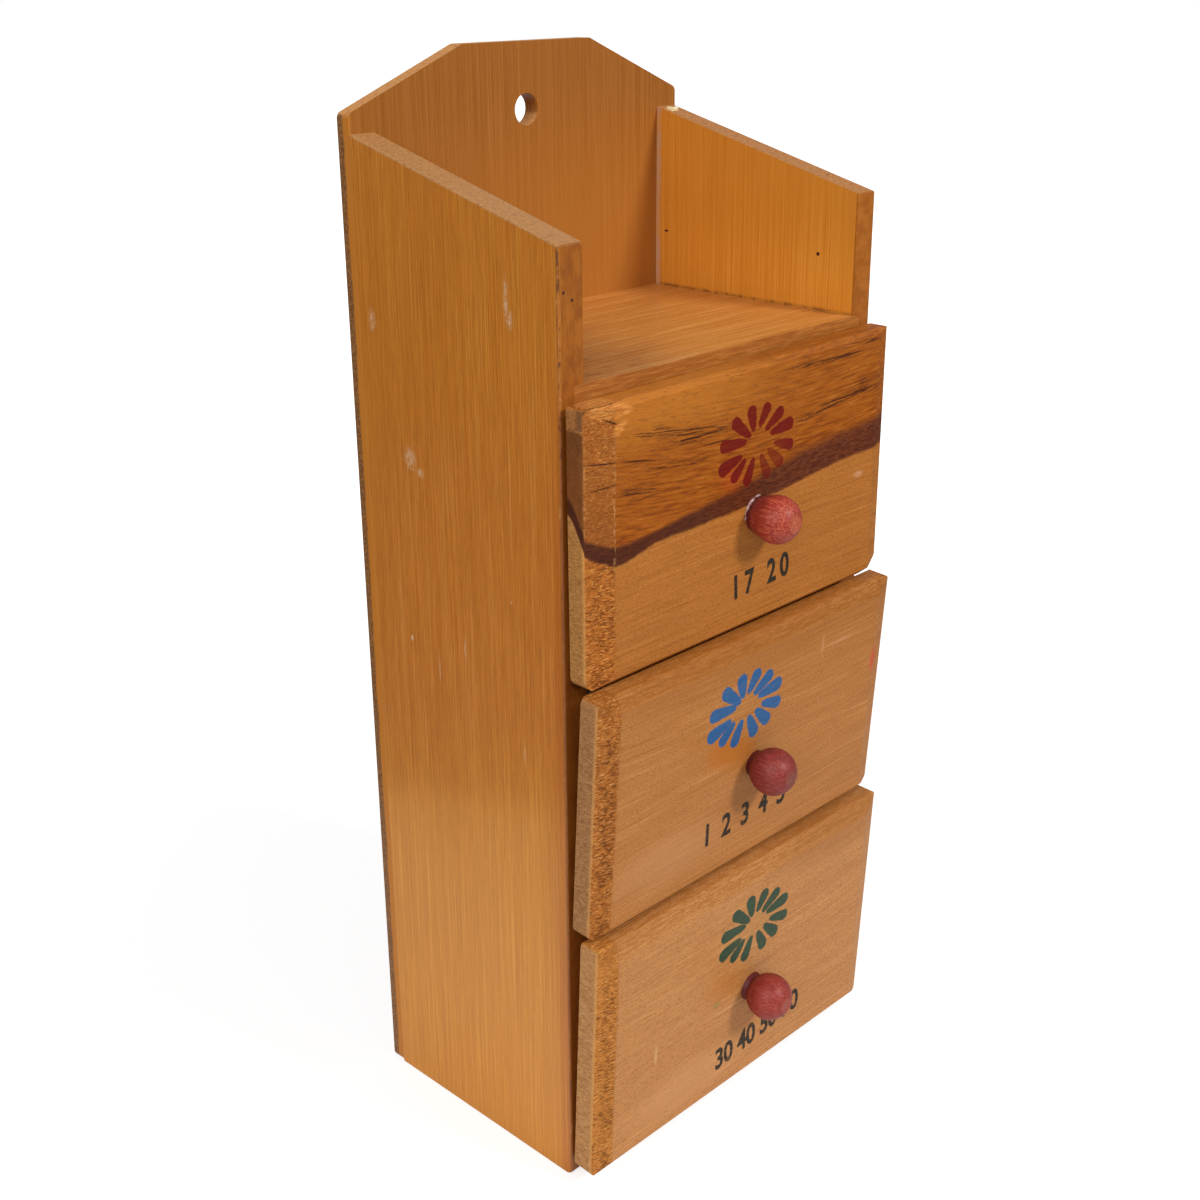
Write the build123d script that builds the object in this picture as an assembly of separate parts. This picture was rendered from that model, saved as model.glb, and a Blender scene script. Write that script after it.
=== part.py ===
from build123d import *

import os
from dataclasses import dataclass
from math import acos, degrees, radians, sin

# Small wooden cabinet with three drawers for sewing things, to stand on a table or
# hang on a wall: two sides with sloping tops, a tall back with cropped corners and
# a hanging hole, an open tray above, and three drawers with overlay fronts.
#
# Millimetres.  X runs to the right, Y to the back, Z up.  The origin is on the
# ground at the middle of the carcass.

os.makedirs("parts", exist_ok=True)

# ---------------------------------------------------------------- carcass sizes
carcass_width = 102.0
side_thickness = 6.6
side_depth = 61.8
left_side_heights = (216.9, 233.4)
right_side_heights = (217.2, 233.2)
side_foot_radius = 2.0

back_thickness = 4.2
back_height = 250.2
shoulder_height = 237.5
crown_left = -18.9
crown_right = 20.8
shoulder_radius = 1.6
back_foot_radius = 1.6
hole_height = 235.3
hole_radius = 3.6

tray_top = 189.3
tray_thickness = 6.0
divider_thickness = 4.0
upper_divider_middle = 126.4
lower_divider_middle = 66.9
base_thickness = 6.0
dado_depth = 2.6
eased_edge = 0.5

# ---------------------------------------------------------------- brad sizes
brad_length = 14.0
brad_radius = 0.6
brad_head_radius = 1.25
brad_head_height = 0.6
shank_facets = 6
head_facets = 12
brads_up_a_side = 3
first_brad_height = 26.0
brad_pitch = 88.0
drawer_brad_length = 10.0

# ---------------------------------------------------------------- drawer sizes
drawer_side_clearance = 0.7
drawer_floor_clearance = 0.5
drawer_head_clearance = 1.5
drawer_rear_gap = 2.0
drawer_board = 4.0
drawer_floor = 2.5
drawer_floor_lift = 3.0
groove_depth = 1.8
back_housing_depth = 1.5
back_inset = 2.0
top_edge_radius = 0.9

# ---------------------------------------------------------------- front and knob sizes
field_rise = 1.4
worn_edge = 0.7
rear_edge = 0.3

knob_neck_radius = 3.3
knob_neck_length = 1.2
knob_tip_radius = 1.6
knob_tip_dimple = 0.35
tenon_radius = 2.0

inner_width = carcass_width - 2 * side_thickness
front_y = -(side_depth + back_thickness) / 2
back_y = front_y + side_depth
rear_y = back_y + back_thickness


@dataclass
class Drawer:
    """One drawer: its bay, and the overlay front that was set a little askew on it."""

    name: str
    bay_floor: float
    bay_ceiling: float
    front_foot: float
    front_height: float
    front_width: float
    front_offset: float
    end_thickness: float
    ajar: float
    lean: float
    roll: float
    worn_foot: tuple
    corner_radii: tuple
    left_bevel: float
    right_bevel: float
    top_bevel: float
    bottom_bevel: float
    top_round: float
    knob_x: float
    knob_height: float
    knob_radius: float
    knob_foot_radius: float

    @property
    def face_thickness(self):
        return self.end_thickness + field_rise

    def place(self):
        """The location that sets an upright front on its drawer, leaning forward."""
        return Pos(0, front_y - self.ajar, self.front_foot) * Rot(self.lean, 0, 0)


tray_underside = tray_top - tray_thickness
upper_floor = upper_divider_middle + divider_thickness / 2
upper_ceiling = upper_divider_middle - divider_thickness / 2
lower_floor = lower_divider_middle + divider_thickness / 2
lower_ceiling = lower_divider_middle - divider_thickness / 2

drawers = [
    Drawer(
        name="top_drawer", bay_floor=upper_floor, bay_ceiling=tray_underside,
        front_foot=126.5, front_height=60.15, front_width=101.0, front_offset=0.1,
        end_thickness=4.5, ajar=1.0, lean=0.3, roll=0.5,
        worn_foot=(7.0, 3.6), corner_radii=(2.8, 2.0, 2.0, 0.9, 1.0),
        left_bevel=7.5, right_bevel=5.0, top_bevel=1.2, bottom_bevel=1.4, top_round=0.7,
        knob_x=2.5, knob_height=26.15, knob_radius=5.45, knob_foot_radius=4.0,
    ),
    Drawer(
        name="middle_drawer", bay_floor=lower_floor, bay_ceiling=upper_ceiling,
        front_foot=67.4, front_height=58.83, front_width=102.0, front_offset=0.0,
        end_thickness=4.9, ajar=1.2, lean=3.85, roll=0.5,
        worn_foot=(5.0, 2.2), corner_radii=(2.2, 1.5, 1.5, 1.9, 1.9),
        left_bevel=5.5, right_bevel=5.0, top_bevel=3.4, bottom_bevel=1.6, top_round=2.0,
        knob_x=1.3, knob_height=25.65, knob_radius=5.55, knob_foot_radius=3.9,
    ),
    Drawer(
        name="bottom_drawer", bay_floor=base_thickness, bay_ceiling=lower_ceiling,
        front_foot=4.0, front_height=62.4, front_width=102.6, front_offset=-0.1,
        end_thickness=5.2, ajar=1.4, lean=2.7, roll=0.0,
        worn_foot=(1.8, 1.8), corner_radii=(1.8, 1.2, 1.2, 1.2, 1.2),
        left_bevel=5.5, right_bevel=5.0, top_bevel=5.0, bottom_bevel=2.0, top_round=0.7,
        knob_x=2.6, knob_height=26.9, knob_radius=5.65, knob_foot_radius=3.7,
    ),
]


# ---------------------------------------------------------------- helpers
def board(x_range, y_range, z_range):
    """A plain rectangular board between two limits on each axis."""
    spans = [high - low for low, high in (x_range, y_range, z_range)]
    middles = [(high + low) / 2 for low, high in (x_range, y_range, z_range)]
    return Pos(*middles) * Box(*spans)


def round_corners(face, *corners):
    """Round a flat face's corners, each given as (point on the face, radius)."""
    for point, radius in corners:
        corner = face.vertices().sort_by_distance(point)[0]
        face = fillet(corner, radius)
    return face


def outline(points):
    return make_face(Polyline(*points, close=True))


def brad(length):
    """A faceted headed pin with its head's top on the XY plane, driven down along -Z."""
    shank = extrude(RegularPolygon(brad_radius, shank_facets), amount=-length)
    head = extrude(RegularPolygon(brad_head_radius, head_facets), amount=-brad_head_height)
    return shank + head


def cut_all(body, tools):
    for tool in tools:
        body = body - tool
    return body


# ---------------------------------------------------------------- carcass
def housed_board(bottom, top):
    """A horizontal board across the carcass, its ends let into the sides' dados."""
    half = inner_width / 2 + dado_depth
    return board((-half, half), (front_y, back_y), (bottom, top))


def side_board(hand, heights):
    """A side with its sloping top; hand is -1 on the left and +1 on the right."""
    front_height, rear_height = heights
    foot = (front_y, 0)
    heel = (back_y, 0)
    rear = (back_y, rear_height)
    front = (front_y, front_height)
    face = round_corners(
        outline([foot, heel, rear, front]),
        (front, eased_edge),
        (foot, side_foot_radius),
    )
    middle = hand * (carcass_width - side_thickness) / 2
    slab = extrude(Plane.YZ * face, amount=side_thickness / 2, both=True)
    slab = Pos(middle, 0, 0) * slab
    rims = slab.faces().filter_by(Axis.X).sort_by(Axis.X)
    outer_rim = rims[-1] if hand > 0 else rims[0]
    clear_of_back = outer_rim.edges().sort_by(Axis.Y)[:-1]
    return fillet(clear_of_back, eased_edge)


def back_board():
    """The tall back: cropped top corners and the round hole it hangs by."""
    half = carcass_width / 2
    crown = [(crown_right, back_height), (crown_left, back_height)]
    shoulders = [(half, shoulder_height), (-half, shoulder_height)]
    feet = [(-half, 0), (half, 0)]
    face = round_corners(
        outline([*feet, shoulders[0], *crown, shoulders[1]]),
        *[(point, back_foot_radius) for point in feet],
        *[(point, shoulder_radius) for point in shoulders],
        *[(point, shoulder_radius) for point in crown],
    )
    face = face - Pos(0, hole_height) * Circle(hole_radius)
    slab = Pos(0, rear_y, 0) * extrude(Plane.XZ * face, amount=back_thickness)
    rear_face = slab.faces().sort_by(Axis.Y)[-1]
    return fillet(rear_face.outer_wire().edges(), eased_edge)


def back_brads():
    """Brads driven from behind, through the back into the sides and the boards."""
    pin = Rot(-90, 0, 0) * brad(brad_length)
    side_x = (carcass_width - side_thickness) / 2
    spots = [
        (hand * side_x, first_brad_height + brad_pitch * row)
        for hand in (-1, 1)
        for row in range(brads_up_a_side)
    ]
    spots += [(0, base_thickness / 2), (0, tray_top - tray_thickness / 2)]
    return [Pos(x, rear_y, z) * pin for x, z in spots]


# ---------------------------------------------------------------- drawer fronts
def raised_front(drawer):
    """An overlay front standing upright, its rear face on y = 0 and its foot on z = 0.

    Three profiles cross: the front outline, the section through its height and the
    plan through its width.  Their bevels meet in mitres round a raised field.  The
    right foot corner is worn away, and the whole is rolled a little, right end up.
    """
    height = drawer.front_height
    left = drawer.front_offset - drawer.front_width / 2
    right = drawer.front_offset + drawer.front_width / 2
    worn_width, worn_height = drawer.worn_foot
    corners = [
        (left, 0), (right - worn_width, 0), (right, worn_height), (right, height), (left, height),
    ]
    face = round_corners(outline(corners), *zip(corners, drawer.corner_radii))
    end = drawer.end_thickness
    full = drawer.face_thickness
    blank = extrude(Plane.XZ * face, amount=2 * full)

    section = outline([
        (0, 0),
        (-end, 0),
        (-full, drawer.bottom_bevel),
        (-full, height - drawer.top_bevel),
        (-end, height),
        (0, height),
    ])
    section = round_corners(
        section,
        ((-end, 0), worn_edge),
        ((-end, height), drawer.top_round),
        ((0, height), rear_edge),
        ((0, 0), rear_edge),
    )
    through_height = extrude(Plane.YZ * section, amount=drawer.front_width, both=True)

    plan = outline([
        (left, 0),
        (left, -end),
        (left + drawer.left_bevel, -full),
        (right - drawer.right_bevel, -full),
        (right, -end),
        (right, 0),
    ])
    plan = round_corners(plan, ((left, -end), worn_edge), ((right, -end), worn_edge))
    through_width = extrude(plan, amount=2 * height, both=True)
    middle = Pos(drawer.front_offset, 0, height / 2)
    rolled = middle * Rot(0, -drawer.roll, 0) * middle.inverse()
    return rolled * (blank & through_height & through_width)


def knob(drawer):
    """A turned bead knob on a flared neck, its shoulder on y = 0 and facing -Y.

    The bead's tip ends in a shallow cone left by the lathe's centre, and a tenon
    behind the shoulder fills the hole in the front.
    """
    radius = drawer.knob_radius
    neck_angle = degrees(acos(knob_neck_radius / radius))
    tip_angle = degrees(acos(knob_tip_radius / radius))
    middle = knob_neck_length + radius * sin(radians(neck_angle))
    bead = CenterArc((0, -middle), radius, neck_angle, -neck_angle - tip_angle)
    tip = bead @ 1
    depth = drawer.face_thickness
    rest = Polyline(
        tip, (0, tip.Y + knob_tip_dimple), (0, depth), (tenon_radius, depth),
        (tenon_radius, 0), (drawer.knob_foot_radius, 0), bead @ 0,
    )
    turned = revolve(make_face([bead, rest]), axis=Axis.Y)
    return Pos(drawer.knob_x, -depth, drawer.knob_height) * turned


def tenon_hole(drawer):
    """The hole through an upright front that the knob's tenon is glued into."""
    depth = drawer.face_thickness
    bit = Rot(90, 0, 0) * Cylinder(tenon_radius, 2 * depth)
    return Pos(drawer.knob_x, -depth / 2, drawer.knob_height) * bit


# ---------------------------------------------------------------- drawer boxes
def drawer_limits(drawer):
    """The box's half width, its foot and head heights, and its rear end."""
    half = inner_width / 2 - drawer_side_clearance
    foot = drawer.bay_floor + drawer_floor_clearance
    head = drawer.bay_ceiling - drawer_head_clearance
    return half, foot, head, back_y - drawer_rear_gap


def behind_front(drawer):
    """All that lies behind the bottom of the grooves in the front's rear face."""
    reach = 2 * side_depth
    width = 2 * carcass_width
    height = 4 * drawer.front_height
    block = Box(width, reach, height, align=(Align.CENTER, Align.MIN, Align.CENTER))
    return drawer.place() * Pos(0, -groove_depth, 0) * block


def drawer_side(drawer, hand):
    half, foot, head, rear = drawer_limits(drawer)
    inner = half - drawer_board
    x_range = (inner, half) if hand > 0 else (-half, -inner)
    plank = board(x_range, (2 * front_y, rear), (foot, head))
    plank = plank & behind_front(drawer)
    top_face = plank.faces().sort_by(Axis.Z)[-1]
    long_edges = top_face.edges().filter_by(Axis.Y)
    return fillet(long_edges, top_edge_radius)


def drawer_floor_board(drawer):
    half, foot, head, rear = drawer_limits(drawer)
    reach = half - drawer_board + groove_depth
    underside = foot + drawer_floor_lift
    sheet = board((-reach, reach), (2 * front_y, rear), (underside, underside + drawer_floor))
    return sheet & behind_front(drawer)


def drawer_back(drawer):
    half, foot, head, rear = drawer_limits(drawer)
    reach = half - drawer_board + back_housing_depth
    floor_top = foot + drawer_floor_lift + drawer_floor
    y_range = (rear - back_inset - drawer_board, rear - back_inset)
    return board((-reach, reach), y_range, (floor_top, head - top_edge_radius))


def drawer_brads(drawer):
    """Brads through each side into the back's end, and one up through the floor."""
    half, foot, head, rear = drawer_limits(drawer)
    back_middle = rear - back_inset - drawer_board / 2
    floor_underside = foot + drawer_floor_lift
    quarter = (head - floor_underside) / 4
    upward = Rot(180, 0, 0) * brad(drawer_brad_length)
    pins = [Pos(0, back_middle, floor_underside) * upward]
    for hand in (-1, 1):
        sideways = Rot(0, 90 * hand, 0) * brad(drawer_brad_length)
        for height in (floor_underside + quarter, head - quarter):
            pins.append(Pos(hand * half, back_middle, height) * sideways)
    return pins


def drawer_pieces(drawer):
    """Every piece of one drawer, cut to seat in its neighbours."""
    place = drawer.place()
    pins = drawer_brads(drawer)
    back = drawer_back(drawer)
    floor = drawer_floor_board(drawer)
    left = cut_all(drawer_side(drawer, -1), [floor, back, *pins])
    right = cut_all(drawer_side(drawer, 1), [floor, back, *pins])
    front = place * (raised_front(drawer) - tenon_hole(drawer))
    return {
        "front": cut_all(front, [left, right, floor]),
        "left_side": left,
        "right_side": right,
        "back": cut_all(back, pins),
        "floor": cut_all(floor, pins),
        "knob": place * knob(drawer),
        "brads": Compound(pins),
    }


# ---------------------------------------------------------------- assembly
def carcass_pieces():
    brads = back_brads()
    shelves = {
        "tray_shelf": housed_board(tray_underside, tray_top),
        "upper_divider": housed_board(upper_ceiling, upper_floor),
        "lower_divider": housed_board(lower_ceiling, lower_floor),
        "bottom_board": housed_board(0, base_thickness),
    }
    housings = [*shelves.values(), *brads]
    pieces = {
        "left_side": cut_all(side_board(-1, left_side_heights), housings),
        "right_side": cut_all(side_board(1, right_side_heights), housings),
        "back_board": cut_all(back_board(), brads),
        "back_brads": Compound(brads),
    }
    for name, shelf in shelves.items():
        pieces[name] = cut_all(shelf, brads)
    return pieces


def write(name, shape):
    export_step(shape, f"parts/{name}.step")


for name, piece in carcass_pieces().items():
    write(name, piece)

for drawer in drawers:
    for name, piece in drawer_pieces(drawer).items():
        write(f"{drawer.name}_{name}", piece)
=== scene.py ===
from functools import reduce
from math import asin, cos, pi, radians, sin

import bmesh
import bpy
from mathutils import Matrix, Vector, noise


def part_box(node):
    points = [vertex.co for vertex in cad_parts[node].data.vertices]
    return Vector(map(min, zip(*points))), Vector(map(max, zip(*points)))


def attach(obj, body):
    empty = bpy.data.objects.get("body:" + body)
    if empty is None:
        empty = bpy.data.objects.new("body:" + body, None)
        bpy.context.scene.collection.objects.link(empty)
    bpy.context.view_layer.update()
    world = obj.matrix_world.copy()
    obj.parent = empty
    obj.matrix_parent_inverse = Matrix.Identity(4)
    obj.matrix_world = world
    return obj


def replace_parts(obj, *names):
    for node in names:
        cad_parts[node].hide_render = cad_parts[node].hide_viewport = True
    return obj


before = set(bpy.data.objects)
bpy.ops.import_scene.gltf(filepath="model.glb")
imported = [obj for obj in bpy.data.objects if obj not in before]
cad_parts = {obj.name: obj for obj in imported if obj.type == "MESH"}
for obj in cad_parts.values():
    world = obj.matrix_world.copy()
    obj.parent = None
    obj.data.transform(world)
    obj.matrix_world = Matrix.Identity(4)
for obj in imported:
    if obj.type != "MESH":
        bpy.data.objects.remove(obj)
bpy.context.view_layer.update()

MM = 0.001
WHITE = (1, 1, 1, 1)


# ---------------- the cabinet's faces
def face_of(node, end, axis):
    """Where a node's low or high end is on one axis, in millimetres."""
    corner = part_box(node)[("low", "high").index(end)]
    return round(corner["XYZ".index(axis)] / MM, 2)


CARCASS_LEFT = face_of("left_side", "low", "X")
CARCASS_FRONT = face_of("left_side", "low", "Y")
RIGHT_INNER = face_of("right_side", "low", "X")
SHELF_TOP = face_of("tray_shelf", "high", "Z")
BACK_FACE = face_of("back_board", "low", "Y")
FIELD_RISE = 1.4  # how far a front's raised field stands over its bevels' outer edges


class Front:
    """Where a drawer front stands and how thick its ends are (mm); it leans out by some degrees."""

    def __init__(self, drawer, foot, height, left, right, ends, ajar, lean, left_bevel):
        self.drawer = drawer
        self.node = drawer + "_front"
        self.height = height
        self.left = left
        self.right = right
        self.ends = ends
        self.face = ends + FIELD_RISE
        self.left_bevel = left_bevel
        tilt = radians(lean)
        self.origin = Vector((0, CARCASS_FRONT - ajar, foot)) * MM
        self.up = Vector((0, -sin(tilt), cos(tilt)))
        self.out = Vector((0, -cos(tilt), -sin(tilt)))

    def at(self, across, up, out):
        """The point of the shared frame at these millimetres across, up and out of the front."""
        side = Vector((across, 0, 0))
        return self.origin + (side + self.up * up + self.out * out) * MM

    def around(self, place, reach, turn, out):
        """The point at some reach and turn round a place on the front."""
        across, up = place
        return self.at(across + reach * cos(turn), up + reach * sin(turn), out)

    def local(self, point):
        """How far across, up and out of the front a point of the shared frame is."""
        offset = (point - self.origin) / MM
        return offset.x, offset.dot(self.up), offset.dot(self.out)

    def axes(self):
        """A matrix that lays a flat piece on the front, its X across and its Y up."""
        return Matrix((Vector((1, 0, 0)), self.up, self.out)).transposed().to_4x4()


top = Front("top_drawer", foot=126.5, height=60.15, left=-50.4, right=50.6,
            ends=4.5, ajar=1.0, lean=0.3, left_bevel=7.5)
middle = Front("middle_drawer", foot=67.4, height=58.83, left=-51.0, right=51.0,
               ends=4.9, ajar=1.2, lean=3.85, left_bevel=5.5)
bottom = Front("bottom_drawer", foot=4.0, height=62.4, left=-51.4, right=51.2,
               ends=5.2, ajar=1.4, lean=2.7, left_bevel=5.5)


# ---------------- shader building
def rgb(red, green, blue):
    """An sRGB colour in 0 to 255 as the linear colour a shader takes."""
    def linear(value):
        value /= 255
        return value / 12.92 if value <= 0.04045 else ((value + 0.055) / 1.055) ** 2.4
    return linear(red), linear(green), linear(blue), 1.0


def dimmed(shade, share):
    """An sRGB colour as the linear one, at a share of its light."""
    return (*[value * share for value in rgb(*shade)[:3]], 1.0)


class Nodes:
    """Fills a node tree. add gives the new node, and the other methods the socket with its result."""

    def __init__(self, tree):
        self.tree = tree
        tree.nodes.clear()

    def add(self, kind, *values, named=None, **settings):
        """A node with these settings, its inputs fed in turn or by name."""
        node = self.tree.nodes.new(kind)
        for name, value in settings.items():
            setattr(node, name, value)
        for key, value in [*enumerate(values), *(named or {}).items()]:
            if isinstance(value, bpy.types.NodeSocket):
                self.tree.links.new(value, node.inputs[key])
            else:
                node.inputs[key].default_value = value
        return node

    def math(self, operation, *values):
        return self.add("ShaderNodeMath", *values, operation=operation).outputs[0]

    def plus(self, one, other):
        return self.math("ADD", one, other)

    def minus(self, one, other):
        return self.math("SUBTRACT", one, other)

    def both(self, *masks):
        """Masks multiplied: what lies in all of them."""
        return reduce(lambda one, other: self.math("MULTIPLY", one, other), masks)

    def either(self, *masks):
        """The greatest of some masks: what lies in any of them."""
        return reduce(lambda one, other: self.math("MAXIMUM", one, other), masks)

    def without(self, one, other):
        """One mask where another isn't."""
        return self.both(one, self.minus(1.0, other))

    def blended(self, one, other, share):
        """Two noises added, the first with this share of the sum."""
        return self.plus(self.both(one, share), self.both(other, 1 - share))

    def swayed(self, value, wave, reach):
        """A value that a noise pushes up and down, over this reach."""
        return self.math("MULTIPLY_ADD", self.minus(wave, 0.5), reach, value)

    def vector(self, operation, *values):
        node = self.add("ShaderNodeVectorMath", *values, operation=operation)
        return node.outputs["Value" if operation in ("DOT_PRODUCT", "LENGTH", "DISTANCE") else "Vector"]

    def stretch(self, vector, x, y, z):
        return self.vector("MULTIPLY", vector, (x, y, z))

    def split(self, vector):
        return self.add("ShaderNodeSeparateXYZ", vector).outputs

    def join(self, x, y, z):
        return self.add("ShaderNodeCombineXYZ", x, y, z).outputs[0]

    def step(self, value, low, high, bottom=0.0, top=1.0):
        """Goes smoothly from bottom, at low, to top, at high; low may be the larger one."""
        node = self.add("ShaderNodeMapRange", value, low, high, bottom, top,
                        interpolation_type="SMOOTHSTEP", clamp=True)
        return node.outputs[0]

    def curve(self, value, points):
        """A smooth curve through points; both axes run from 0 to 1."""
        node = self.add("ShaderNodeFloatCurve", named={"Value": value})
        line = node.mapping.curves[0]
        line.points[0].location = points[0]
        line.points[-1].location = points[-1]
        for point in points[1:-1]:
            line.points.new(*point)
        node.mapping.update()
        return node.outputs[0]

    def mix(self, low, high, factor, blend="MIX"):
        node = self.add("ShaderNodeMix", named={"Factor": factor, 6: low, 7: high},
                        data_type="RGBA", blend_type=blend, clamp_factor=True)
        return node.outputs[2]

    def between(self, dark, light, value, low, high):
        """One sRGB colour that turns into another as the value goes from low to high."""
        return self.mix(rgb(*dark), rgb(*light), self.step(value, low, high))

    def stained(self, colour, shade, mask):
        """A colour with an sRGB shade over it, where the mask is."""
        return self.mix(colour, rgb(*shade), mask)


class Paint(Nodes):
    """One material, worked out in metres in the shared frame; its colour is laid on in coats."""

    def __init__(self, name):
        self.material = bpy.data.materials.new(name)
        self.material.use_nodes = True
        super().__init__(self.material.node_tree)
        self.place = self.add("ShaderNodeTexCoord").outputs["Object"]
        self.normal = self.add("ShaderNodeTexCoord").outputs["Normal"]
        self.space = self.place

    def millimetres(self):
        """The place as separate x, y and z in millimetres."""
        return self.split(self.stretch(self.place, *[1 / MM] * 3))

    def cover(self, colour, *masks, blend="MIX"):
        """Lay a coat over the colour, as strong as the product of some masks and shares."""
        self.colour = self.mix(self.colour, colour, self.both(*masks), blend)

    def stain(self, shade, *masks):
        """Lay an sRGB shade over the colour in the same way."""
        self.cover(rgb(*shade), *masks)

    def tint(self, factors, mask):
        """Multiply the colour's red, green and blue where the mask is."""
        self.cover(self.mix(WHITE, (*factors, 1), mask), 1.0, blend="MULTIPLY")

    def noise(self, vector, detail=2, rough=0.5, warp=0.0):
        named = {"Vector": vector, "Scale": 1.0, "Detail": detail, "Roughness": rough, "Distortion": warp}
        return self.add("ShaderNodeTexNoise", named=named).outputs["Fac"]

    def waves(self, x, y, z, **options):
        """Noise with about so many waves per unit of the material's space, along each axis."""
        return self.noise(self.stretch(self.space, x, y, z), **options)

    def speckle(self, size, **options):
        """Even noise in the shared frame, its grains of about so many millimetres."""
        return self.waves(*[1 / (size * MM)] * 3, **options)

    def cells(self, x, y, z):
        """How far the nearest of many scattered points is."""
        named = {"Vector": self.stretch(self.place, x, y, z), "Scale": 1.0}
        return self.add("ShaderNodeTexVoronoi", named=named).outputs["Distance"]

    def spot(self, place, size, soft=0.5, ragged=0.0):
        """An oval mask round one point of the shared frame, both in millimetres."""
        local = self.vector("SUBTRACT", self.place, tuple(value * MM for value in place))
        local = self.vector("DIVIDE", local, tuple(value * MM for value in size))
        reach = self.vector("LENGTH", local)
        if ragged:
            reach = self.swayed(reach, self.speckle(0.8, detail=3, rough=0.7), ragged)
        return self.step(reach, 1.0, 1.0 - soft)

    def bump(self, height, depth):
        """A normal for a height of 0 to 1 that stands for so many millimetres."""
        named = {"Strength": 1.0, "Distance": depth * MM, "Height": height}
        return self.add("ShaderNodeBump", named=named).outputs[0]

    def surface(self, roughness, normal=None, coat=0.0, coat_roughness=0.1, specular=0.5, metallic=0.0):
        """A principled shader with the colour that has been laid on."""
        named = {
            "Base Color": self.colour, "Roughness": roughness, "Metallic": metallic,
            "Specular IOR Level": specular, "Coat Weight": coat, "Coat Roughness": coat_roughness,
        }
        if normal is not None:
            named["Normal"] = normal
        return self.add("ShaderNodeBsdfPrincipled", named=named).outputs[0]

    def finish(self, shader):
        """Give the material a shader, and return it."""
        self.add("ShaderNodeOutputMaterial", named={"Surface": shader})
        return self.material


# ---------------- carcass wood
def grain(p, along):
    """Hair-fine, fine and broad grain, and short silky flecks, with the fibres along one axis."""
    def fibres(size, longer, **options):
        scales = [1 / (size * MM)] * 3
        scales["XYZ".index(along)] /= longer
        return p.waves(*scales, **options)

    hair = fibres(0.26, 140, rough=0.6)
    fine = fibres(0.8, 110, rough=0.6, warp=0.1)
    broad = fibres(14, 5)
    silk = fibres(0.5, 5, rough=0.6)
    return hair, fine, broad, silk


def varnished(name, along, tones, shine, specular, raw_tops=None, wear_and_painted_light=None):
    """Varnished wood with fine straight grain, and raw sawn wood on its cut tops."""
    p = Paint(name)
    dark, plain, light = tones
    hair, fine, broad, silk = grain(p, along)
    tone = p.blended(hair, fine, 0.72)
    p.colour = p.between(dark, plain, tone, 0.34, 0.5)
    p.stain(light, p.step(tone, 0.5, 0.66))
    p.stain(light, p.step(silk, 0.5, 0.75, 0, 0.3))
    p.stain(dark, p.step(broad, 0.45, 0.75, 0, 0.22))
    roughness = p.step(hair, 0.3, 0.7, 0.4, 0.5)
    height = p.plus(hair, p.both(silk, 0.6))
    if raw_tops is not None:
        facing_up = p.step(p.split(p.normal)[2], 0.15, 0.4)
        speck = p.speckle(0.7, detail=3, rough=0.6)
        p.cover(p.between(*raw_tops, speck, 0.2, 0.6), facing_up)
        roughness = p.plus(roughness, p.both(facing_up, 0.3))
        height = p.plus(height, p.both(facing_up, speck))
    if wear_and_painted_light is not None:
        wear_and_painted_light(p)
    normal = p.bump(height, 0.03)
    return p.finish(p.surface(roughness, normal, coat=shine, coat_roughness=0.14, specular=specular))


def raw_wood(name, along):
    """Unfinished pale wood, as on the hidden drawer boxes, with painted shade on the tips by the fronts.
    """
    p = Paint(name)
    hair, fine, broad, _ = grain(p, along)
    tone = p.blended(hair, fine, 0.5)
    p.colour = p.between((176, 134, 88), (214, 178, 132), tone, 0.36, 0.64)
    p.stain((160, 118, 74), p.step(broad, 0.5, 0.8, 0, 0.4))
    # Painted shade: the tips next to the fronts' backs are darkened, as the gap there would be in shade.
    shaded_tips = ((CARCASS_FRONT + 1.0) * MM, (CARCASS_FRONT + 0.3) * MM)
    p.stain((46, 26, 14), p.step(p.split(p.place)[1], *shaded_tips, 0, 0.9))
    return p.finish(p.surface(p.step(hair, 0.3, 0.7, 0.7, 0.85), p.bump(tone, 0.05)))


def front_edge(p, y):
    """A mask on the carcass's narrow front edges."""
    return p.step(y, CARCASS_FRONT + 0.5, CARCASS_FRONT + 0.15)


SCUFFS = (
    ((-18.3, 205.0), (0.9, 6.5)), ((-19.4, 201.0), (1.0, 2.6)), ((24.6, 195.0), (1.6, 3.0)),
    ((13.9, 166.2), (2.6, 3.2)), ((10.6, 163.4), (1.6, 1.4)), ((-2.0, 126.0), (0.5, 4.0)),
    ((-20.5, 106.0), (0.35, 3.2)), ((7.0, 119.0), (0.3, 5.0)),
)


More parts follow.
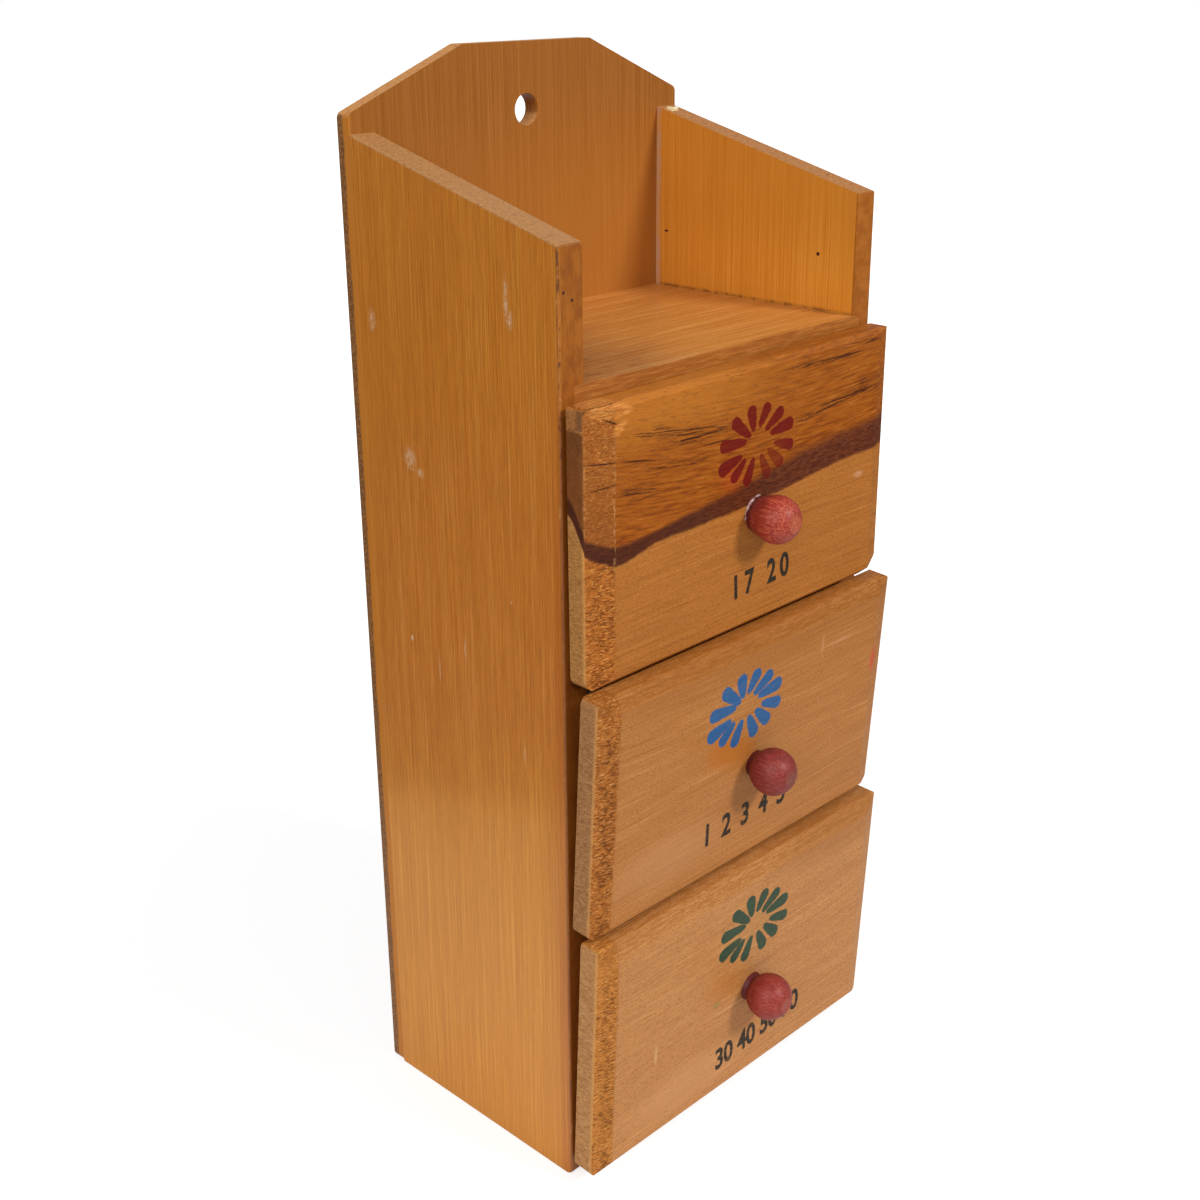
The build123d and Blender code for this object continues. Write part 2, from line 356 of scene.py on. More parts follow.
def left_side_wear_and_painted_light(p):
    """A paler foot that is a painted reflection of the white floor, a rosy middle, short fibres, pale
    scuffs and specks, and a worn front edge with painted shade.
    """
    x, y, z = p.millimetres()
    slanted = p.math("MULTIPLY_ADD", y, 0.27, z)
    # Painted reflection: the lower part paler, as the varnish would mirror the white floor.
    low = p.math("MULTIPLY_ADD", p.step(slanted, 94, 82), 0.5, p.step(slanted, 110, 62, 0, 0.5))
    low = p.both(low, p.step(y, CARCASS_FRONT, CARCASS_FRONT + 11, 0.35, 1.0))
    p.tint((1.22, 1.38, 1.75), low)
    p.tint((1.0, 0.98, 1.35), p.both(p.step(slanted, 192, 160), p.step(slanted, 96, 112)))
    fibres = p.waves(2400, 2400, 160, detail=3, rough=0.6)
    shaded = p.mix(WHITE, (0.84, 0.82, 0.78, 1), p.step(fibres, 0.5, 0.66, 0, 0.75))
    shaded = p.mix(shaded, (1.14, 1.16, 1.25, 1), p.step(fibres, 0.48, 0.34, 0, 0.6))
    p.cover(shaded, p.step(slanted, 66, 104, 0.45, 1.0), blend="MULTIPLY")
    scuffs_and_dust(p)
    left_front_edge(p, x, y, z)


def scuffs_and_dust(p):
    """Pale scuffs on the left side, and a scatter of pale specks."""
    streaky = p.waves(900, 1800, 500, detail=3, rough=0.7)
    ovals = [p.spot((CARCASS_LEFT, *place), (4, *size), 0.8, 1.1) for place, size in SCUFFS]
    p.stain((224, 196, 160), p.either(*ovals), p.step(streaky, 0.42, 0.6, 0.15, 0.6))
    dust = p.step(p.cells(90, 90, 60), 0.055, 0.03)
    here = p.step(p.waves(60, 60, 60), 0.5, 0.62)
    p.stain((228, 200, 166), dust, here)


def left_front_edge(p, x, y, z):
    """The left side's front edge: its tone, its ragged corner, two nail marks, and painted shade beside
    and behind the drawer fronts and in a gap between them.
    """
    wobble = p.waves(500, 500, 220, detail=4, rough=0.7)
    corner = p.plus(p.minus(y, CARCASS_FRONT), p.minus(x, CARCASS_LEFT))
    rim = p.step(p.math("MULTIPLY_ADD", wobble, 0.9, corner), 1.25, 0.75)
    # Painted shade: the side darker and warmer near its front, beside the drawer fronts.
    beside = p.both(p.step(y, CARCASS_FRONT + 4.2, CARCASS_FRONT + 1.4), p.step(z, 205, 180))
    p.tint((0.9, 0.8, 0.62), beside)
    edge = p.both(front_edge(p, y), p.step(x, CARCASS_LEFT + 0.4, CARCASS_LEFT + 0.8))
    edge_tone = p.between((134, 70, 10), (160, 92, 20), wobble, 0.35, 0.65)
    p.cover(edge_tone, edge, 0.92)
    # Painted shade: a dark spot on the front edge, where the gap between the top and middle fronts would
    # be in shade.
    gap_shade = p.spot((-46.6, CARCASS_FRONT, 126.4), (3.0, 2.0, 2.4), 0.4, 0.5)
    p.stain((36, 16, 8), gap_shade, 0.85)
    p.stain((150, 88, 30), rim, 0.6)
    p.stain((86, 44, 16), rim, p.step(wobble, 0.5, 0.56), p.step(z, 150, 185, 0.35, 0.9))
    p.stain((204, 146, 84), rim, p.step(wobble, 0.4, 0.34), 0.7)
    for x_nail, z_nail in ((-49.5, 207.9), (-47.3, 206.2)):
        nail = p.spot((x_nail, CARCASS_FRONT, z_nail), (0.42, 0.42, 0.42), 0.4)
        p.stain((58, 28, 14), nail)
    # Painted shade: the front edge darker behind the drawer fronts.
    behind = p.step(y, CARCASS_FRONT + 0.5, CARCASS_FRONT + 0.1)
    p.stain((112, 50, 14), behind, p.step(z, 184.5, 183.2), 0.45)


def right_side_wear_and_painted_light(p):
    """A nail hole, a dark speck, the dark joint line with glue along the tray, and painted light low on
    the inner face.
    """
    x, y, z = p.millimetres()
    nail_hole = p.spot((RIGHT_INNER, -22.4, 202.5), (0.6, 0.55, 0.55), 0.35)
    p.stain((40, 20, 10), nail_hole)
    dark_speck = p.spot((RIGHT_INNER, 25.3, 203.1), (0.6, 0.8, 0.35), 0.4, 0.6)
    p.stain((64, 40, 26), dark_speck)
    inner = p.step(x, RIGHT_INNER + 0.5, RIGHT_INNER + 0.2)
    dashes = p.waves(300, 330, 300, detail=3, rough=0.7)
    shelf_line = p.both(p.step(z, SHELF_TOP + 1.0, SHELF_TOP + 0.3), p.step(dashes, 0.44, 0.6, 0.3, 0.75))
    p.stain((110, 64, 30), inner, shelf_line)
    corner = p.both(p.step(y, BACK_FACE - 1.9, BACK_FACE - 0.9), p.step(dashes, 0.36, 0.6, 0.3, 0.85))
    p.stain((186, 146, 116), inner, corner)
    # Painted light: the inner face paler low down, near the tray.
    p.tint((1.15, 1.2, 1.3), p.both(inner, p.step(z, 214, 194)))
    edge_tone = p.between((146, 80, 20), (168, 98, 34), dashes, 0.35, 0.65)
    p.cover(edge_tone, front_edge(p, y), 0.9)


def shelf_wear_and_painted_shade(p):
    """The tray's left end darker with painted shade from the left side, dark smudges there, and its darker
    front edge.
    """
    x = p.millimetres()[0]
    # Painted shade: the tray darker towards its left end, where the left side shades it.
    p.tint((0.72, 0.74, 0.95), p.step(x, 2, -30))
    smudges = p.waves(120, 260, 260, detail=3, rough=0.6)
    p.stain((96, 62, 34), p.step(smudges, 0.52, 0.66), p.step(x, -14, -30), 0.45)
    facing = p.both(p.split(p.normal)[1], -1.0)
    scratched = p.waves(160, 900, 1800, detail=4, rough=0.7)
    edge_tone = p.between((154, 86, 26), (192, 122, 54), scratched, 0.4, 0.72)
    p.cover(edge_tone, p.step(facing, 0.4, 0.7), 0.9)


def back_wear_and_painted_light(p):
    """The back's sawn left end, dark and speckled towards the wall and orange in front; and painted light
    low on its front face.
    """
    x, y, z = p.millimetres()
    border = p.swayed(y, p.waves(250, 250, 120, detail=4, rough=0.7), 1.6)
    sawn_end = p.step(x, CARCASS_LEFT + 0.4, CARCASS_LEFT + 0.1)
    speck = p.speckle(0.45, detail=3, rough=0.7)
    sawn = p.between((92, 58, 32), (158, 112, 68), speck, 0.36, 0.66)
    p.cover(sawn, sawn_end, p.step(border, BACK_FACE + 1.6, BACK_FACE + 2.4), 0.85)
    p.stain((206, 128, 44), sawn_end, p.step(border, BACK_FACE + 2.2, BACK_FACE + 1.6), 0.7)
    # Painted light: the back's front face paler and more orange low down, as light off the tray would make
    # it.
    p.stain((200, 132, 58), p.step(z, 245, 195), p.step(y, BACK_FACE + 0.6, BACK_FACE + 0.1), 0.4)


# ---------------- painted fronts
# A daisy's petals: each one's narrow end and wide end from the flower's middle, and its half width.
PETALS = (
    ((-1.4, 3.6), (-2.1, 7.4), 1.50), ((0.9, 4.1), (3.0, 7.3), 1.40),
    ((3.2, 2.9), (7.6, 5.6), 1.35), ((5.0, 1.6), (11.0, 2.4), 1.50),
    ((6.5, -1.1), (11.4, -2.4), 1.30), ((4.2, -2.3), (7.9, -5.6), 1.40),
    ((1.6, -3.2), (3.6, -7.2), 1.40), ((-1.2, -3.4), (-3.0, -7.5), 1.40),
    ((-4.2, -3.0), (-7.3, -5.9), 1.30), ((-5.6, -1.9), (-11.2, -3.4), 1.60),
    ((-4.2, 1.3), (-11.0, 1.6), 1.45), ((-2.7, 2.3), (-7.3, 5.9), 1.45),
)
PETAL_TIP = 0.55


def petal_group():
    """A node group: how far a point lies inside a teardrop from a narrow to a wide end."""
    tree = bpy.data.node_groups.new("petal", "ShaderNodeTree")
    for name in ("Point", "Narrow", "Span"):
        tree.interface.new_socket(name, in_out="INPUT", socket_type="NodeSocketVector")
    tree.interface.new_socket("Wide", in_out="INPUT", socket_type="NodeSocketFloat")
    tree.interface.new_socket("Inside", in_out="OUTPUT", socket_type="NodeSocketFloat")
    petal = Nodes(tree)
    point, narrow, span, wide, _ = petal.add("NodeGroupInput").outputs
    offset = petal.vector("SUBTRACT", point, narrow)
    along = petal.vector("DOT_PRODUCT", offset, span)
    whole = petal.vector("DOT_PRODUCT", span, span)
    share = petal.add("ShaderNodeMath", along, whole, operation="DIVIDE", use_clamp=True).outputs[0]
    nearest = petal.add("ShaderNodeVectorMath", span, named={"Scale": share}, operation="SCALE").outputs[0]
    gap = petal.vector("DISTANCE", offset, nearest)
    growth = petal.minus(wide, PETAL_TIP)
    width = petal.math("MULTIPLY_ADD", petal.math("POWER", share, 0.6), growth, PETAL_TIP)
    petal.add("NodeGroupOutput", petal.minus(width, gap))
    return tree


petal_nodes = petal_group()


class FrontPaint(Paint):
    """A drawer front's material, worked out in millimetres across, up and out of it."""

    def __init__(self, name, front):
        super().__init__(name)
        self.front = front
        offset = self.vector("SUBTRACT", self.place, tuple(front.origin))
        self.across = self.both(self.split(offset)[0], 1 / MM)
        self.up = self.both(self.vector("DOT_PRODUCT", offset, tuple(front.up)), 1 / MM)
        self.out = self.both(self.vector("DOT_PRODUCT", offset, tuple(front.out)), 1 / MM)
        self.flat = self.join(self.across, self.up, 0.0)
        self.space = self.join(self.across, self.up, self.out)
        self.ends = self.step(self.math("ABSOLUTE", self.split(self.normal)[0]), 0.6, 0.9)
        self.strips = self.bevel_strips()

    def streaks(self, size, longer, space=None, **options):
        """Noise drawn out along the front's grain, in its own space or a bent one."""
        scaled = self.stretch(space or self.space, 1 / (size * longer), 1 / size, 1 / size)
        return self.noise(scaled, **options)

    def patch(self, across, up, wide, high, soft=0.5, turn=0.0):
        """A soft oval mask at one place on the front, turned by some degrees."""
        local = self.vector("SUBTRACT", self.flat, (across, up, 0))
        if turn:
            spin = radians(turn)
            along = self.vector("DOT_PRODUCT", local, (cos(spin), sin(spin), 0))
            athwart = self.vector("DOT_PRODUCT", local, (-sin(spin), cos(spin), 0))
            local = self.join(along, athwart, 0.0)
        local = self.vector("DIVIDE", local, (wide, high, 1))
        return self.step(self.vector("LENGTH", local), 1.0, 1.0 - soft)

    def ovals(self, rows):
        """One mask of many soft ovals: each row is across, up, wide, high and turn."""
        return self.either(*[self.patch(*row[:4], soft=0.6, turn=row[4]) for row in rows])

    def daisy(self, centre):
        """How far inside the flower's nearest petal a point is, in millimetres."""
        local = self.vector("SUBTRACT", self.flat, (*centre, 0))
        inside = []
        for narrow, wide, width in PETALS:
            span = (wide[0] - narrow[0], wide[1] - narrow[1], 0)
            petal = self.add("ShaderNodeGroup", local, (*narrow, 0), span, width, node_tree=petal_nodes)
            inside.append(petal.outputs["Inside"])
        return self.either(*inside)

    def bevel_strips(self):
        """The bevels' torn end grain at the left and right, with a ragged border on the left."""
        ragged = self.waves(0.5, 0.9, 0.9, detail=4, rough=0.7)
        inset = self.swayed(self.minus(self.across, self.front.left), ragged, 1.8)
        edge = self.front.left_bevel
        left = self.step(inset, edge + 0.4, edge - 0.4)
        self.border = self.step(self.math("ABSOLUTE", self.minus(inset, edge)), 0.5, 0.15)
        right = self.step(self.minus(self.front.right, self.across), 5.5, 4.5)
        return self.either(left, self.both(right, 0.1))


def front_grain(p, tones):
    """Fine level grain with short pores; returns its height and its hair-fine noise."""
    dark, plain, light = tones
    flow = p.join(p.across, p.swayed(p.up, p.waves(0.02, 0.03, 0.02, detail=1), 4.0), p.out)
    hair = p.noise(p.stretch(flow, 0.07, 4.4, 4.4), detail=3, rough=0.65)
    fine = p.noise(p.stretch(flow, 0.03, 1.6, 1.6), rough=0.6)
    broad = p.noise(p.stretch(flow, 0.014, 0.2, 0.2), detail=3)
    pores = p.noise(p.stretch(flow, 1.2, 4.6, 4.6), rough=0.6)
    tone = p.blended(hair, fine, 0.6)
    p.colour = p.between(dark, plain, tone, 0.34, 0.5)
    p.stain(light, p.step(tone, 0.52, 0.68))
    p.stain(dark, p.step(broad, 0.48, 0.76, 0, 0.35))
    p.cover(dimmed(dark, 0.72), p.step(pores, 0.54, 0.68, 0, 0.85))
    p.stain(light, p.step(pores, 0.4, 0.3, 0, 0.6))
    return p.both(tone, 0.25), hair


def torn_strips(p, height, tones, pit_top):
    """Combed fibres and pits on the bevels, the pits darkened with painted shade; returns the new height
    and the fibres.
    """
    dark, plain, light = tones
    combed = p.join(p.across, p.swayed(p.up, p.waves(0.2, 0.3, 0.3), 1.6), p.out)
    fibres = p.noise(p.stretch(combed, 0.9, 3.4, 1.6), detail=3, rough=0.7)
    torn = p.between(dark, plain, fibres, 0.34, 0.5)
    torn = p.stained(torn, light, p.step(fibres, 0.52, 0.68, 0, 0.95))
    p.cover(torn, p.strips)
    inset = p.math("DIVIDE", p.minus(p.across, p.front.left), p.front.left_bevel)
    inner = p.step(p.math("ABSOLUTE", p.minus(inset, 0.68)), 0.5, 0.1)
    cluster = p.step(p.waves(0.3, 0.22, 0.2), 0.35, 0.65)
    level = p.plus(p.both(cluster, 0.09), p.both(inner, 0.07))
    ticks = p.noise(p.stretch(combed, 0.7, 3.3, 1.2), rough=0.6)
    below = p.step(p.up, pit_top + 2, pit_top - 2, 0.3, 1.0)
    pitted = p.both(p.step(p.plus(ticks, level), 0.62, 0.72), below, p.strips, 0.8)
    depth = p.add("ShaderNodeAttribute", attribute_type="GEOMETRY", attribute_name="torn").outputs["Fac"]
    # Painted shade: the pits, and the places sunk most, darkened as their hollows would be in shade.
    pit_shade = p.either(pitted, p.step(depth, 0.5, 1.0, 0, 0.3))
    p.cover(dimmed(dark, 0.68), pit_shade)
    return p.minus(p.plus(height, p.both(p.strips, fibres, 2.4)), pitted), fibres


def sawn_ends(p, height, tones, rim_tone):
    """Speckled end grain on the end faces, paler at the rim; returns the new height."""
    specks = p.waves(3.2, 2.6, 0.9, detail=3, rough=0.7)
    sawn = p.between(*tones, specks, 0.32, 0.66)
    rim = p.step(p.out, p.front.ends - 0.2, p.front.ends - 1.0)
    sawn = p.mix(rgb(*rim_tone), sawn, p.either(rim, 0.45))
    p.cover(sawn, p.ends)
    return p.plus(height, p.both(p.ends, specks))


def painted_daisy(p, hair, fibres, centre, shade, swell, faded):
    """The daisy in thin worn paint on the raised field, faded over one oval."""
    petals = p.step(p.swayed(p.daisy(centre), fibres, 0.8), -0.1 - swell, 0.14 - swell)
    worn = p.step(p.waves(0.6, 2.2, 1.0, detail=3, rough=0.7), 0.42, 0.56)
    brushed = p.mix(rgb(*shade), dimmed(shade, 0.8), worn)
    facing = p.step(p.out, p.front.face - 0.35, p.front.face - 0.1)
    cover = p.both(petals, facing, p.step(hair, 0.2, 0.7, 1.0, 0.9))
    if faded is not None:
        cover = p.without(cover, p.both(p.patch(*faded, soft=0.8), 0.32))
    p.cover(brushed, cover)


def front_material(front, name, tones, strip_tones, end_tones, flower, flower_shade, swell,
                   pit_top, over, figure=None, faded=None, patches=()):
    """Varnished front: fine level grain, torn bevels, grey ends and a painted daisy."""
    p = FrontPaint(name, front)
    height, hair = front_grain(p, tones)
    if figure is not None:
        height = figure(p, height)
    for place, size, shade, amount in patches:
        p.stain(shade, p.patch(*place, *size, soft=0.75), amount)
    height, fibres = torn_strips(p, height, strip_tones, pit_top)
    height = sawn_ends(p, height, end_tones, strip_tones[2])
    over(p)
    painted_daisy(p, hair, fibres, flower, flower_shade, swell, faded)
    bare = p.either(p.strips, p.ends)
    roughness = p.math("MULTIPLY_ADD", bare, 0.3, p.step(hair, 0.3, 0.7, 0.42, 0.52))
    normal = p.bump(height, 0.14)
    return p.finish(p.surface(roughness, normal, coat=0.05, coat_roughness=0.3, specular=0.15))


# ---------------- the top front's heartwood
# The dark streak on the top drawer's front: how high it runs and half its thickness, from the
# left end to the right. These are shares of STREAK_SPAN: millimetres across, up and thick.
STREAK_SPAN = (104.0, 62.0, 10.0)
STREAK_HEIGHT = (
    (0.0, 0.52), (0.05, 0.475), (0.096, 0.452), (0.21, 0.474), (0.31, 0.486),
    (0.43, 0.502), (0.587, 0.53), (0.73, 0.559), (1.0, 0.586),
)
STREAK_HALF = (
    (0.0, 0.17), (0.096, 0.2), (0.21, 0.13), (0.31, 0.18), (0.43, 0.24),
    (0.587, 0.32), (0.73, 0.34), (1.0, 0.36),
)
# Ovals on the front, each across, up, wide, high and turn: first the zones with fine checks,
# then the long single cracks.
CHECKS = (
    (-32, 51.7, 10, 1.3, -6), (-18, 49.0, 15, 1.6, -6), (-21, 48.0, 10, 1.2, -4), (36, 47.0, 18, 1.5, 3),
    (20, 45.2, 9, 1.0, 6), (42, 49.5, 9, 0.9, 2), (25, 56.7, 18, 0.8, -1), (38, 58.6, 12, 0.7, -1),
    (-36, 40, 8, 2.0, -8), (-24, 43.5, 12, 1.2, -5),
)
LONG_CHECKS = (
    (-36.0, 46.7, 7.5, 0.3, -10), (-46.5, 48.1, 5.5, 0.24, -5), (-21, 50.2, 15, 0.17, -8),
    (35, 47.1, 15, 0.22, 3), (26, 45.6, 6, 0.3, 5), (30, 56.8, 13, 0.25, -1), (-17, 48.1, 8, 0.2, -3),
    (-43.6, 56.1, 4.0, 0.26, -24), (-46.0, 43.0, 5.0, 0.2, 4), (-12.0, 45.6, 7, 0.2, -2),
)


def streak_distance(p):
    """How far above the streak's middle a point is, and half the streak's thickness."""
    across, up, thick = STREAK_SPAN
    share = p.math("DIVIDE", p.plus(p.across, across / 2), across)
    line = p.both(p.curve(share, STREAK_HEIGHT), up)
    half = p.both(p.curve(share, STREAK_HALF), thick)
    behind = p.step(p.out, p.front.face, 0.0, 0.0, 8.0)
    line = p.plus(line, p.both(p.ends, behind))
    waver = p.waves(0.2, 0.35, 0.3, detail=4, rough=0.65)
    return p.swayed(p.minus(p.up, line), waver, 1.3), half


def heartwood(p, height):
    """Reddish figured wood above the streak, with thin dark checks; returns the new height."""
    above = streak_distance(p)[0]
    bow = p.both(p.math("POWER", p.minus(p.across, 12.0), 2.0), 0.0012)
    level = p.join(p.across, p.minus(p.up, bow), p.out)
    flame = p.streaks(0.55, 12, level, detail=4, rough=0.6)
    figured = p.between((128, 60, 5), (160, 85, 16), flame, 0.34, 0.56)
    figured = p.stained(figured, (190, 118, 48), p.step(flame, 0.56, 0.74, 0, 0.8))
    golden = p.both(p.step(p.up, 46, 57), p.step(p.across, 22, -22), 0.6)
    figured = p.stained(figured, (198, 124, 42), golden)
    fade = p.step(above, 0.0, 26.0, 1.0, 0.8)
    p.cover(figured, p.step(above, -0.4, 0.6), fade)
    checks = p.streaks(0.26, 20, level, detail=3, rough=0.6, warp=0.3)
    split = p.both(p.step(checks, 0.535, 0.585), p.ovals(CHECKS))
    short = p.streaks(0.32, 6, level, detail=3)
    ticks = p.both(p.step(short, 0.6, 0.7, 0, 0.38), p.step(above, 0.0, 2.0))
    split = p.either(split, ticks)
    p.stain((74, 33, 10), split, 0.8)
    return p.minus(height, split)


def darkened_end(p, above):
    """How the heartwood darkens the left end's sawn face and bevel."""
    upper = p.step(above, -0.4, 0.8)
    cloud = p.waves(0.5, 0.22, 0.5, detail=3)
    shade = p.between((80, 44, 24), (122, 72, 40), cloud, 0.35, 0.65)
    p.cover(shade, p.ends, upper, p.step(p.up, 55.2, 54.6), 0.85)
    patchy = p.between((122, 84, 56), (186, 128, 72), p.out, 3.4, 2.0)
    p.cover(patchy, p.ends, p.step(p.up, 55.0, 55.6), 0.8)
    p.stain((140, 76, 24), p.strips, upper, p.step(above, 4.0, 24.0, 0.6, 0.3))
    rough = p.step(p.waves(2.2, 2.2, 2.2, detail=3, rough=0.7), 0.5, 0.66)
    p.stain((102, 54, 18), p.strips, upper, rough, 0.5)


def heartwood_over(p):
    """The streak itself, long cracks, the chipped corner and a red haze beside the daisy."""
    above, half = streak_distance(p)
    darkened_end(p, above)
    cracks = p.both(p.ovals(LONG_CHECKS), 0.85)
    p.stain((58, 24, 8), p.without(cracks, p.ends))
    core = p.between((78, 32, 15), (112, 56, 29), p.streaks(0.3, 6, detail=3), 0.34, 0.68)
    core = p.stained(core, (64, 28, 14), p.step(p.across, 5, -25, 0, 0.55))
    lower_edge = p.step(p.plus(above, half), -0.5, 0.35)
    soft = p.step(p.across, -35, 20, 0.6, 1.6)
    upper_edge = p.step(p.minus(above, half), soft, p.both(soft, -1.1))
    p.cover(core, lower_edge, upper_edge)
    chip = p.either(p.patch(-44.0, 58.4, 7.0, 1.9, 0.35, -4), p.patch(-41.5, 54.6, 3.0, 1.3, 0.5, 35))
    shredded = p.streaks(0.34, 12, detail=3, rough=0.7)
    p.cover(p.between((172, 98, 32), (220, 148, 74), shredded, 0.36, 0.6), chip, 0.8)
    edges = p.both(p.border, p.step(p.up, 54, 50), p.step(p.up, 22, 28))
    edges = p.either(edges, p.patch(-50.2, 42, 0.3, 13, 0.7))
    dashed = p.step(p.waves(1.0, 0.8, 1.0, detail=3), 0.45, 0.62)
    p.stain((216, 160, 98), edges, dashed, 0.38)
    p.stain((178, 52, 30), p.patch(-6.5, 37.0, 5.5, 5.5, 0.9), 0.35)


def top_edge_wear_and_shade(line, shade, amount):
    """Torn fibres along a front's top edge and rounded corner, in a darker shade that is partly painted
    shadow of the front above.
    """
    def over(p):
        shredded = p.streaks(0.5, 7, detail=3, rough=0.7)
        torn = p.stained(p.colour, shade, p.step(shredded, 0.42, 0.6))
        edge = p.swayed(p.up, p.waves(0.25, 0.6, 0.6, detail=3), 4.0)
        mask = p.both(p.step(edge, line - 0.6, line + 0.6), amount)
        # Torn fibres, and painted shadow from the front above, on the top band.
        p.cover(torn, p.without(mask, p.ends))
    return over


# ---------------- knobs, ink, glue, steel
def knob_material(name, base, light, tip_light, tip):
    """Wood stained red: the grain shows through the stain, paler on the end grain, with painted shade
    towards the foot.
    """
    p = Paint(name)
    fibres = p.waves(1 / (0.42 * MM), 1 / (7 * MM), 1 / (0.42 * MM), detail=3, rough=0.6)
    darker = dimmed(base, 0.6)
    p.colour = p.between(base, light, fibres, 0.4, 0.66)
    cloud = p.speckle(3, detail=3, rough=0.6)
    p.cover(darker, p.step(cloud, 0.5, 0.75, 0, 0.45))
    specks = p.speckle(0.35, rough=0.7)
    p.stain(tip_light, p.step(specks, 0.56, 0.68), 0.3)
    worn = p.mix(rgb(*tip_light), darker, p.step(specks, 0.48, 0.66))
    at_tip = p.spot(tip, (2.9, 2.0, 2.9), 0.7, 1.0)
    p.cover(worn, at_tip, 0.6)
    ring = p.without(p.spot(tip, (3.3, 2.4, 3.3), 0.3, 0.5), p.spot(tip, (2.6, 2.0, 2.6), 0.3, 0.5))
    p.cover(darker, ring, 0.35)
    y = p.split(p.place)[1]
    # Painted shade: darker towards the foot, and darkest at the neck.
    p.cover(darker, p.step(y, (tip[1] + 3.5) * MM, (tip[1] + 9.0) * MM), 0.6)
    p.stain((70, 16, 20), p.step(y, (tip[1] + 8.6) * MM, (tip[1] + 10.0) * MM), 0.7)
    normal = p.bump(p.plus(fibres, p.both(at_tip, specks)), 0.06)
    roughness = p.step(fibres, 0.3, 0.7, 0.46, 0.6)
    return p.finish(p.surface(roughness, normal, coat=0.08, coat_roughness=0.3, specular=0.3))


def ink_material():
    """Stencil ink rubbed thin along the grain, so that the wood shows through."""
    p = Paint("stencil_ink")
    rubbed = p.waves(1 / (3.5 * MM), 1 / (0.4 * MM), 1 / (0.4 * MM), detail=4, rough=0.7)
    spots = p.speckle(0.5, detail=3, rough=0.7)
    thin = p.step(p.plus(rubbed, p.both(spots, 0.5)), 0.66, 0.95, 0.02, 0.5)
    p.colour = p.between((32, 32, 28), (62, 58, 48), spots, 0.4, 0.7)
    ink = p.surface(p.step(spots, 0.3, 0.7, 0.5, 0.62), specular=0.15)
    clear = p.add("ShaderNodeBsdfTransparent").outputs[0]
    return p.finish(p.add("ShaderNodeMixShader", thin, ink, clear).outputs[0])


def glue_material(name, dark, light):
    """Lumpy dried glue with a shiny skin."""
    p = Paint(name)
    lumps = p.speckle(0.9, detail=3)
    p.colour = p.between(dark, light, lumps, 0.35, 0.65)
    roughness = p.step(lumps, 0.3, 0.7, 0.2, 0.35)
    return p.finish(p.surface(roughness, p.bump(lumps, 0.15), coat=0.5))


def steel_material():
    """The brads' dull, scratched steel."""
    p = Paint("brad_steel")
    scratches = p.speckle(0.3, detail=3)
    p.colour = p.between((128, 124, 118), (176, 172, 166), scratches, 0.35, 0.65)
    roughness = p.step(scratches, 0.3, 0.7, 0.32, 0.5)
    return p.finish(p.surface(roughness, p.bump(scratches, 0.02), metallic=1.0))


# ---------------- dress the CAD nodes
def dress(node, material):
    """Give a CAD node a new material in place of each of its own."""
    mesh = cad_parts[node].data
    if not mesh.materials:
        mesh.materials.append(material)
    for index in range(len(mesh.materials)):
        mesh.materials[index] = material


dress("left_side", varnished(
    "left_side_wood", "Z", ((179, 103, 20), (191, 115, 28), (205, 134, 46)), shine=0.22, specular=0.42,
    raw_tops=((147, 93, 43), (181, 128, 73)), wear_and_painted_light=left_side_wear_and_painted_light))
dress("right_side", varnished(
    "right_side_wood", "Z", ((194, 120, 34), (204, 131, 41), (214, 144, 54)), shine=0.1, specular=0.25,
    raw_tops=((136, 84, 40), (186, 126, 72)), wear_and_painted_light=right_side_wear_and_painted_light))
dress("back_board", varnished(
    "back_wood", "Z", ((144, 84, 25), (156, 95, 34), (168, 108, 46)), shine=0.1, specular=0.2,
    raw_tops=((170, 106, 50), (206, 146, 86)), wear_and_painted_light=back_wear_and_painted_light))
dress("tray_shelf", varnished(
    "shelf_wood", "X", ((164, 94, 36), (202, 132, 58), (236, 172, 98)), shine=0.2, specular=0.3,
    wear_and_painted_light=shelf_wear_and_painted_shade))
# Painted shade: the dividers and bottom board, seen only through the gaps between the fronts, are made
# very dark so that the gaps read as shade.
inner_wood_in_shade = varnished(
    "divider_wood_painted_shade", "X", ((70, 36, 14), (96, 54, 24), (116, 70, 34)), shine=0.0, specular=0.1)
for divider in ("upper_divider", "lower_divider", "bottom_board"):
    dress(divider, inner_wood_in_shade)

box_side_wood = raw_wood("drawer_box_wood", "Y")
box_wood = raw_wood("drawer_back_wood", "X")
steel = steel_material()
dress("back_brads", steel)
for front in (top, middle, bottom):
    dress(f"{front.drawer}_brads", steel)
    for part in ("left_side", "right_side"):
        dress(f"{front.drawer}_{part}", box_side_wood)
    for part in ("back", "floor"):
        dress(f"{front.drawer}_{part}", box_wood)

